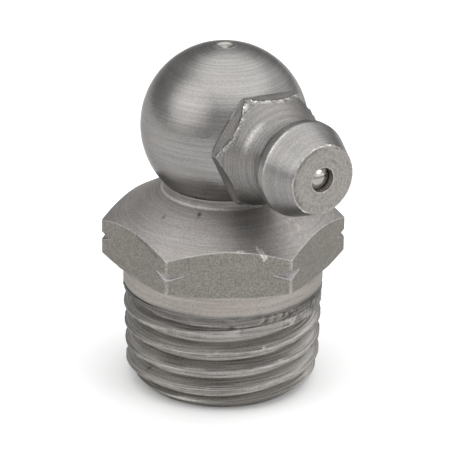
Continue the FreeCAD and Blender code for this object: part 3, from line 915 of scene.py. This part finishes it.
# %% [markdown]
# Last, the edge of the land gets a painted highlight, the mouth of the orifice is ragged and gets
# painted shade just inside, and the neck behind the land gets painted shade. Then the sheet is laid
# on its side and becomes the head.

# %% The land, the mouth and the head's mesh
land_line_place, land_shine = Band(land_front - 0.06, land_front + 0.06, 0.05), 0.8
land_line_side = Band(122, 165, 12)
mouth_dark_place, mouth_shade = Band(nose_face - 0.14, nose_face - 0.03, 0.03), 0.6
mouth_noise, mouth_size, mouth_reach = Noise(8, 40, 33), 0.05, 0.09
shaded_head_neck, head_neck_shade = Band(neck_back - 0.1, neck_front, 0.25), 0.45

# Painted highlight along the land's front edge.
land_line = within(along_head, land_line_place) * within(turned_by, land_line_side)
mark_more(head_sheet, "wear", land_shine * land_line * (head_sheet["radius"] > land_r - 0.2))
# Painted shade just inside the orifice's mouth.
at_mouth = np.abs(head_sheet["radius"] - orifice_r) < mouth_reach
mark_more(head_sheet, "grime", mouth_shade * at_mouth * within(along_head, mouth_dark_place))
mouth = ragged(head_angles, along_head, mouth_noise) - 0.5
head_sheet["radius"] = head_sheet["radius"] + at_mouth * (along_head > seat_front) * mouth_size * mouth
# Painted shade over the neck behind the land.
outside_bore = head_sheet["radius"] > valve_bore_r + 0.2
mark_more(head_sheet, "grime", within(along_head, shaded_head_neck) * outside_bore * head_neck_shade)
head_sheet["wear"] = np.clip(head_sheet["wear"], 0, 1)
head_sheet["height"] = np.minimum(along_head, nose_face)


def sideways(across, up, height):
    """Places a sheet whose axis is the head's."""
    return np.stack([height, across, head_height + up], axis=-1)


head_mesh = wrapped_mesh("coupling_head", head_sheet, head_angles, sideways)
finished(head_mesh, 40)
head = new_piece("head_turned", head_mesh, "nipple", "head_steel", "coupling_head")

# %% [markdown]
# The check ball is a bearing ball that closes the orifice from behind. Only a disc of it shows,
# with a painted highlight across its upper half where it mirrors the studio, and a painted dark band
# of reflection below that. It is one more sheet wrapped round the head's axis, a half circle this
# time, and it rides on the valve body so that it can slide.

# %% The check ball
valve_low, valve_high = node_box("check_ball")
check_ball_r = (valve_high.z - valve_low.z) / 2
check_ball_x = (valve_high.x + valve_low.x) / 2
highlight_up, highlight_across = Band(0.24, 0.5, 0.07), Band(-0.35, 0.38, 0.1)
dark_band_up, dark_band_share = Band(0.08, 0.17, 0.06), 0.6

valve_angles = np.radians(np.linspace(0, 360, 97))
valve_turns = np.radians(np.linspace(-90, 90, 61))[:, None] * np.ones(len(valve_angles))
valve_radius = check_ball_r * np.cos(valve_turns)
valve_height = check_ball_x + check_ball_r * np.sin(valve_turns)
valve_across = valve_radius * np.cos(valve_angles)
valve_up = valve_radius * np.sin(valve_angles)
# A painted highlight across the upper half and a painted dark reflection band below it.
painted_highlight = within(valve_up, highlight_up) * within(valve_across, highlight_across)
dark_reflection_band = dark_band_share * within(valve_up, dark_band_up)
valve_sheet = strip(valve_radius, valve_height, 0, painted_highlight, dark_reflection_band)
valve_mesh = wrapped_mesh("check_ball", valve_sheet, valve_angles, sideways)
finished(valve_mesh, 60)
check_ball = new_piece("polished_ball", valve_mesh, "valve", "ball_steel", "check_ball")

# %% [markdown]
# The valve spring pushes the ball on to its seat. It is wire wound on a helix, so its mesh is a
# ring of points carried along the helix, with each ring square to the wire. When the ball slides
# back the real spring closes up.

# %% The valve spring
spring_low, spring_high = node_box("valve_spring")
spring_wire_r = 0.15
spring_r = (spring_high.y - spring_low.y) / 2 - spring_wire_r
spring_coils = 8
spring_start = spring_low.x + spring_wire_r
spring_length = spring_high.x - spring_low.x - 2 * spring_wire_r
wire_sides = 10
steps_per_coil = 40


def spring_mesh():
    """A wire swept along a helix about the head's axis."""
    turns = np.linspace(0, spring_coils, spring_coils * steps_per_coil + 1) * 2 * math.pi
    middle = np.stack([
        spring_start + spring_length * turns / turns[-1],
        spring_r * np.cos(turns),
        head_height + spring_r * np.sin(turns)], axis=-1)
    outward = np.stack([np.zeros_like(turns), np.cos(turns), np.sin(turns)], axis=-1)
    forward = np.gradient(middle, axis=0)
    forward /= np.linalg.norm(forward, axis=1, keepdims=True)
    sideward = np.cross(forward, outward)
    rings = []
    for side in range(wire_sides):
        angle = 2 * math.pi * side / wire_sides
        around = math.cos(angle) * outward + math.sin(angle) * sideward
        rings.append(middle + spring_wire_r * around)
    points = np.stack(rings, axis=1).reshape(-1, 3) * MM
    faces = []
    for ring in range(len(turns) - 1):
        for side in range(wire_sides):
            here = ring * wire_sides + side
            beside = ring * wire_sides + (side + 1) % wire_sides
            faces.append((here, beside, beside + wire_sides, here + wire_sides))
    faces.append(tuple(range(wire_sides)))
    faces.append(tuple(range(len(points) - 1, len(points) - 1 - wire_sides, -1)))
    mesh = bpy.data.meshes.new("valve_spring")
    mesh.from_pydata(points.tolist(), [], faces)
    return finished(mesh, 60)


spring = new_piece("coiled_spring", spring_mesh(), "nipple", "spring_steel", "valve_spring")
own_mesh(spring)

# %% [markdown]
# Shader nodes are easier to read as sums than as wiring, so a few helpers come first. Each one adds
# a node, feeds it numbers or other nodes, and hands back its output.

# %% Small helpers for shader nodes
def add_node(tree, kind, **settings):
    made = tree.nodes.new(kind)
    for name, value in settings.items():
        setattr(made, name, value)
    return made


def feed(tree, socket, value):
    """Links a socket to another, or sets its number or colour."""
    if isinstance(value, bpy.types.NodeSocket):
        tree.links.new(value, socket)
    else:
        socket.default_value = value


def calculate(tree, operation, *values):
    made = add_node(tree, "ShaderNodeMath", operation=operation)
    for socket, value in zip(made.inputs, values):
        feed(tree, socket, value)
    return made.outputs[0]


def grain(tree, vector, scale, detail, roughness=0.6):
    made = add_node(tree, "ShaderNodeTexNoise")
    feed(tree, made.inputs["Vector"], vector)
    made.inputs["Scale"].default_value = scale
    made.inputs["Detail"].default_value = detail
    made.inputs["Roughness"].default_value = roughness
    return made.outputs["Fac"]


def remap(tree, value, low, high, out_low, out_high):
    made = add_node(tree, "ShaderNodeMapRange", interpolation_type="SMOOTHSTEP")
    settings = (("From Min", low), ("From Max", high), ("To Min", out_low), ("To Max", out_high))
    for name, number in settings:
        made.inputs[name].default_value = number
    feed(tree, made.inputs["Value"], value)
    return made.outputs["Result"]


def mixed(tree, share, first, second):
    made = add_node(tree, "ShaderNodeMix", data_type="RGBA")
    feed(tree, made.inputs["Factor"], share)
    feed(tree, made.inputs["A"], first)
    feed(tree, made.inputs["B"], second)
    return made.outputs["Result"]


def mark_value(tree, name):
    return add_node(tree, "ShaderNodeAttribute", attribute_name=name).outputs["Fac"]


# %% [markdown]
# A lathe tool leaves rings: fine lines that follow the turning and change slowly along their length.
# Noise gives that if it is stretched, so it is read in a space where the ring number counts for
# much and the distance round the axis for little.

# %% Lathe lines
def lathe_lines(tree, place, lines, length):
    """Noise in rings round the piece's axis: lines a millimetre, each some millimetres long."""
    split = add_node(tree, "ShaderNodeSeparateXYZ")
    feed(tree, split.inputs[0], place)
    rings = add_node(tree, "ShaderNodeCombineXYZ")
    feed(tree, rings.inputs["X"], calculate(tree, "MULTIPLY", mark_value(tree, "ring"), lines))
    for target, source in (("Y", "X"), ("Z", "Y")):
        feed(tree, rings.inputs[target], calculate(tree, "MULTIPLY", split.outputs[source], 1 / MM / length))
    return grain(tree, rings.outputs[0], 1.0, 1.0)


# %% [markdown]
# Steel's colour is the colour of its reflections, so the base colours below are close to grey: in
# each, red, green and blue differ by only a few hundredths. What separates one finish from the
# next is how pale it is and how far the tool spread the light: roughness, the strength of its
# lines and the grain between them. One function makes the colour of them all. It lays lines and
# grain over two shades, clouds them with a warmer tint, then brightens the wear and the painted
# highlights and darkens the grime and the painted shade that the meshes carry. Metal deep in a
# thread mirrors the metal beside it and looks hardly darker than the crests. So the groove mark
# paints a reflection into the base colour there and makes it paler, most of all on the flanks that
# look up.

# %% Steel's colour
WARM = (0.36, 0.315, 0.285, 1)
# Pale for rubbed metal and for painted highlights.
BRIGHT = (0.62, 0.6, 0.57, 1)
# Dark for dirt and for painted shade and painted shadow.
DIRT_AND_SHADE = (0.035, 0.033, 0.03, 1)
FLANK_REFLECTION = (0.51, 0.493, 0.472, 1)
DIRT_AND_SHADE_COVER = 0.8
Finish = namedtuple("Finish", "pale dark roughness lines length line_share bumps warmth")
print("wear turns steel towards", BRIGHT[:3], "and grime towards", DIRT_AND_SHADE[:3])


def steel_colour(tree, look, line, speckle, cloud):
    """The base colour of a finish, from its lines, its fine speckle and its slow cloud."""
    line_part = calculate(tree, "MULTIPLY", line, look.line_share)
    shade = calculate(tree, "MULTIPLY_ADD", speckle, 1 - look.line_share, line_part)
    colour = mixed(tree, remap(tree, shade, 0.36, 0.64, 0.0, 1.0), look.dark, look.pale)
    colour = mixed(tree, remap(tree, cloud, 0.42, 0.68, 0.0, look.warmth), colour, WARM)
    lit = remap(tree, shade, 0.4, 0.62, 0.3, 1.05)
    # Painted reflection: the groove mark makes the colour paler deep in the thread.
    colour = mixed(tree, calculate(tree, "MULTIPLY", mark_value(tree, "groove"), lit), colour, FLANK_REFLECTION)
    broken = remap(tree, speckle, 0.3, 0.6, 0.45, 1.0)
    colour = mixed(tree, calculate(tree, "MULTIPLY", mark_value(tree, "wear"), broken), colour, BRIGHT)
    dirty = calculate(tree, "MULTIPLY", mark_value(tree, "grime"), DIRT_AND_SHADE_COVER)
    return mixed(tree, dirty, colour, DIRT_AND_SHADE)


# %% [markdown]
# The same lines and speckle also tilt the surface a little, by a bump of a hundredth of a
# millimetre, and the cloud makes it rougher in one place than in another. With the colour they make
# one steel.

# %% Steel
SPECKLE_SCALE = 8500.0
CLOUD_SCALE = 420.0
BUMP_HEIGHT = 0.01 * MM
TINT = (0.6, 0.6, 0.6, 1)


def steel(name, look):
    """A steel of the given finish."""
    material = bpy.data.materials.new(name)
    material.use_nodes = True
    tree = material.node_tree
    shader = tree.nodes["Principled BSDF"]
    shader.inputs["Metallic"].default_value = 1.0
    shader.inputs["Specular Tint"].default_value = TINT
    place = add_node(tree, "ShaderNodeTexCoord").outputs["Object"]
    line = lathe_lines(tree, place, look.lines, look.length)
    speckle = grain(tree, place, SPECKLE_SCALE, 1.0)
    cloud = grain(tree, place, CLOUD_SCALE, 3.0)
    feed(tree, shader.inputs["Base Color"], steel_colour(tree, look, line, speckle, cloud))
    rough = remap(tree, cloud, 0.3, 0.7, look.roughness - 0.05, look.roughness + 0.06)
    feed(tree, shader.inputs["Roughness"], rough)
    line_bump, speckle_bump = look.bumps
    line_height = calculate(tree, "MULTIPLY", line, line_bump)
    bump = add_node(tree, "ShaderNodeBump")
    bump.inputs["Strength"].default_value = 1.0
    bump.inputs["Distance"].default_value = BUMP_HEIGHT
    feed(tree, bump.inputs["Height"], calculate(tree, "MULTIPLY_ADD", speckle, speckle_bump, line_height))
    feed(tree, shader.inputs["Normal"], bump.outputs[0])
    return material


# %% [markdown]
# The body shows six finishes. The cut thread is rough and dark, the collar was turned and has gone
# a little warm, and the hexagon's flats still have the skin of drawn bar, grainy and olive. The
# notch, the cone and the ball are turned, the ball with the finest lines. The bore stays plain.

# %% The body's finishes
body_finishes = {
    "drilled_bore": Finish(
        (0.27, 0.26, 0.25, 1), (0.2, 0.195, 0.185, 1), 0.4, 6.0, 4.0, 0.6, (0.8, 0.4), 0.2),
    "cut_thread": Finish(
        (0.3, 0.287, 0.273, 1), (0.16, 0.153, 0.143, 1), 0.44, 9.0, 4.0, 0.75, (1.9, 1.1), 0.25),
    "turned_collar": Finish(
        (0.345, 0.323, 0.3, 1), (0.247, 0.232, 0.213, 1), 0.45, 7.0, 4.0, 0.5, (0.8, 0.9), 0.4),
    "drawn_flats": Finish(
        (0.256, 0.246, 0.223, 1), (0.17, 0.163, 0.147, 1), 0.55, 3.0, 2.0, 0.15, (0.2, 1.6), 0.12),
    # The notch's steel is paler than the rest: painted light for the inside of the V.
    "turned_notch_painted_light": Finish(
        (0.52, 0.506, 0.512, 1), (0.42, 0.407, 0.412, 1), 0.42, 6.0, 3.0, 0.5, (0.6, 0.6), 0.1),
    "turned_cone": Finish(
        (0.348, 0.332, 0.321, 1), (0.258, 0.246, 0.237, 1), 0.53, 7.5, 4.0, 0.5, (0.7, 1.2), 0.2),
    "turned_ball": Finish(
        (0.262, 0.254, 0.247, 1), (0.204, 0.198, 0.192, 1), 0.29, 8.0, 6.0, 0.6, (0.55, 0.8), 0.12),
}
for name, look in body_finishes.items():
    nipple.data.materials.append(steel(name, look))
print("body finishes:", ", ".join(body_finishes))

# %% [markdown]
# The head has the same kinds of surface on a smaller scale. The check ball is ground and polished,
# so it is the one mirror here, and the spring is drawn wire.

# %% The other finishes
head_finishes = {
    "valve_bore": Finish(
        (0.5, 0.47, 0.44, 1), (0.4, 0.375, 0.35, 1), 0.45, 6.0, 4.0, 0.6, (0.8, 0.4), 0.2),
    "head_flats": Finish(
        (0.31, 0.3, 0.29, 1), (0.215, 0.208, 0.2, 1), 0.42, 6.0, 4.0, 0.4, (0.7, 1.0), 0.1),
    "turned_flare": Finish(
        (0.205, 0.199, 0.192, 1), (0.14, 0.136, 0.131, 1), 0.35, 8.0, 5.0, 0.6, (0.8, 0.8), 0.1),
    "turned_nose": Finish(
        (0.25, 0.243, 0.237, 1), (0.185, 0.18, 0.174, 1), 0.31, 8.0, 5.0, 0.5, (0.7, 0.8), 0.1),
    "faced_end": Finish(
        (0.3, 0.287, 0.268, 1), (0.22, 0.21, 0.196, 1), 0.46, 5.0, 3.0, 0.3, (0.5, 1.1), 0.15),
}
for name, look in head_finishes.items():
    head.data.materials.append(steel(name, look))
ball_look = Finish(
    (0.36, 0.344, 0.33, 1), (0.32, 0.305, 0.293, 1), 0.2, 3.0, 4.0, 0.3, (0.0, 0.08), 0.05)
wire_look = Finish(
    (0.4, 0.39, 0.37, 1), (0.33, 0.32, 0.3, 1), 0.3, 3.0, 4.0, 0.3, (0.1, 0.3), 0.1)
check_ball.data.materials.append(steel("polished_ball_steel", ball_look))
spring.data.materials.append(steel("spring_wire_steel", wire_look))
print("head finishes:", ", ".join(head_finishes))

# %% [markdown]
# The nipple stands on plain white paper. The sheet is far larger than the picture, so its edge
# never shows, and it is matt, so that it carries only the soft shadow.

# %% The floor
floor_half = 0.6
paper_white = (0.81, 0.81, 0.81, 1)


def make_floor():
    corners = [(-1, -1), (1, -1), (1, 1), (-1, 1)]
    mesh = bpy.data.meshes.new("studio_floor")
    mesh.from_pydata([(x * floor_half, y * floor_half, 0) for x, y in corners], [], [(0, 1, 2, 3)])
    floor = bpy.data.objects.new("studio_floor", mesh)
    bpy.context.scene.collection.objects.link(floor)
    material = bpy.data.materials.new("pale_paper")
    material.use_nodes = True
    shader = material.node_tree.nodes["Principled BSDF"]
    shader.inputs["Base Color"].default_value = paper_white
    shader.inputs["Roughness"].default_value = 0.95
    mesh.materials.append(material)


make_floor()
print("floor %.1f m square" % (2 * floor_half))

# %% [markdown]
# The camera was fitted to the photograph: its place, its turn and its focal length together bring
# about a hundred measured points of the object on to their pixels. It is a long lens that looks
# down by about 23 degrees, from 33 degrees round the axis from the nose.

# %% The camera
camera_place = Vector((140.76, -91.87, 83.44)) * MM
camera_right = Vector((0.54337, 0.83943, 0.01021))
camera_up = Vector((-0.33805, 0.20765, 0.91793))
camera_back = camera_right.cross(camera_up)
camera_data = bpy.data.cameras.new("portrait_camera")
camera_data.sensor_width = 36
camera_data.lens = 220.97
camera_data.clip_start = 0.01
camera_data.clip_end = 10
camera = bpy.data.objects.new("portrait_camera", camera_data)
bpy.context.scene.collection.objects.link(camera)
turn = Matrix((camera_right, camera_up, camera_back)).transposed()
camera.matrix_world = Matrix.Translation(camera_place) @ turn.to_4x4()
bpy.context.scene.camera = camera
camera_tilt = math.degrees(math.asin(camera_back.z))
print("camera %.0f mm from the axis, %.1f degrees up" % (camera_place.xy.length / MM, camera_tilt))

# %% [markdown]
# Bare steel shows the studio more than itself. The bright patch on the ball's left is a softbox
# beside the camera, the pale top is a large panel overhead, and the dark band between them is the
# unlit room. Soft patches of light in the world's sky stand for those panels. They have no hard
# edge, which suits satin steel. The small key card on the right casts the soft shadow to the left
# and puts the highlight on the check ball. Each panel is full up to one angle from its middle and
# has faded into the room at another.

# %% The light
room_light = 0.44
Panel = namedtuple("Panel", "round_axis above_floor full faded brightness")
panels = {
    "overhead": Panel(60, 80, 28, 60, 2.2),
    "softbox": Panel(-97, 38, 12, 40, 2.35),
    "side_panel": Panel(80, 40, 12, 50, 1.32),
    "front_card": Panel(-5, 14, 10, 60, 0.8),
    "key_card": Panel(27, 24, 8, 22, 4.4),
}


def facing(degrees_round, degrees_up):
    """The direction of a panel, from its angle round the axis and above the floor."""
    round_angle, up_angle = math.radians(degrees_round), math.radians(degrees_up)
    level = math.cos(up_angle)
    return level * math.cos(round_angle), level * math.sin(round_angle), math.sin(up_angle)


def make_sky():
    """A world whose brightness is the strongest of its panels in each direction."""
    world = bpy.data.worlds.new("studio_sky")
    world.use_nodes = True
    tree = world.node_tree
    direction = add_node(tree, "ShaderNodeTexCoord").outputs["Generated"]
    strength = room_light
    for panel in panels.values():
        aim = add_node(tree, "ShaderNodeVectorMath", operation="DOT_PRODUCT")
        feed(tree, aim.inputs[0], direction)
        feed(tree, aim.inputs[1], facing(panel.round_axis, panel.above_floor))
        edge, core = math.cos(math.radians(panel.faded)), math.cos(math.radians(panel.full))
        lit = remap(tree, aim.outputs["Value"], edge, core, room_light, panel.brightness)
        strength = calculate(tree, "MAXIMUM", strength, lit)
    background = tree.nodes["Background"]
    background.inputs["Color"].default_value = (1, 1, 1, 1)
    feed(tree, background.inputs["Strength"], strength)
    return world


bpy.context.scene.world = make_sky()
bpy.context.scene.view_settings.view_transform = "Standard"
print("sky panels:", ", ".join(panels))
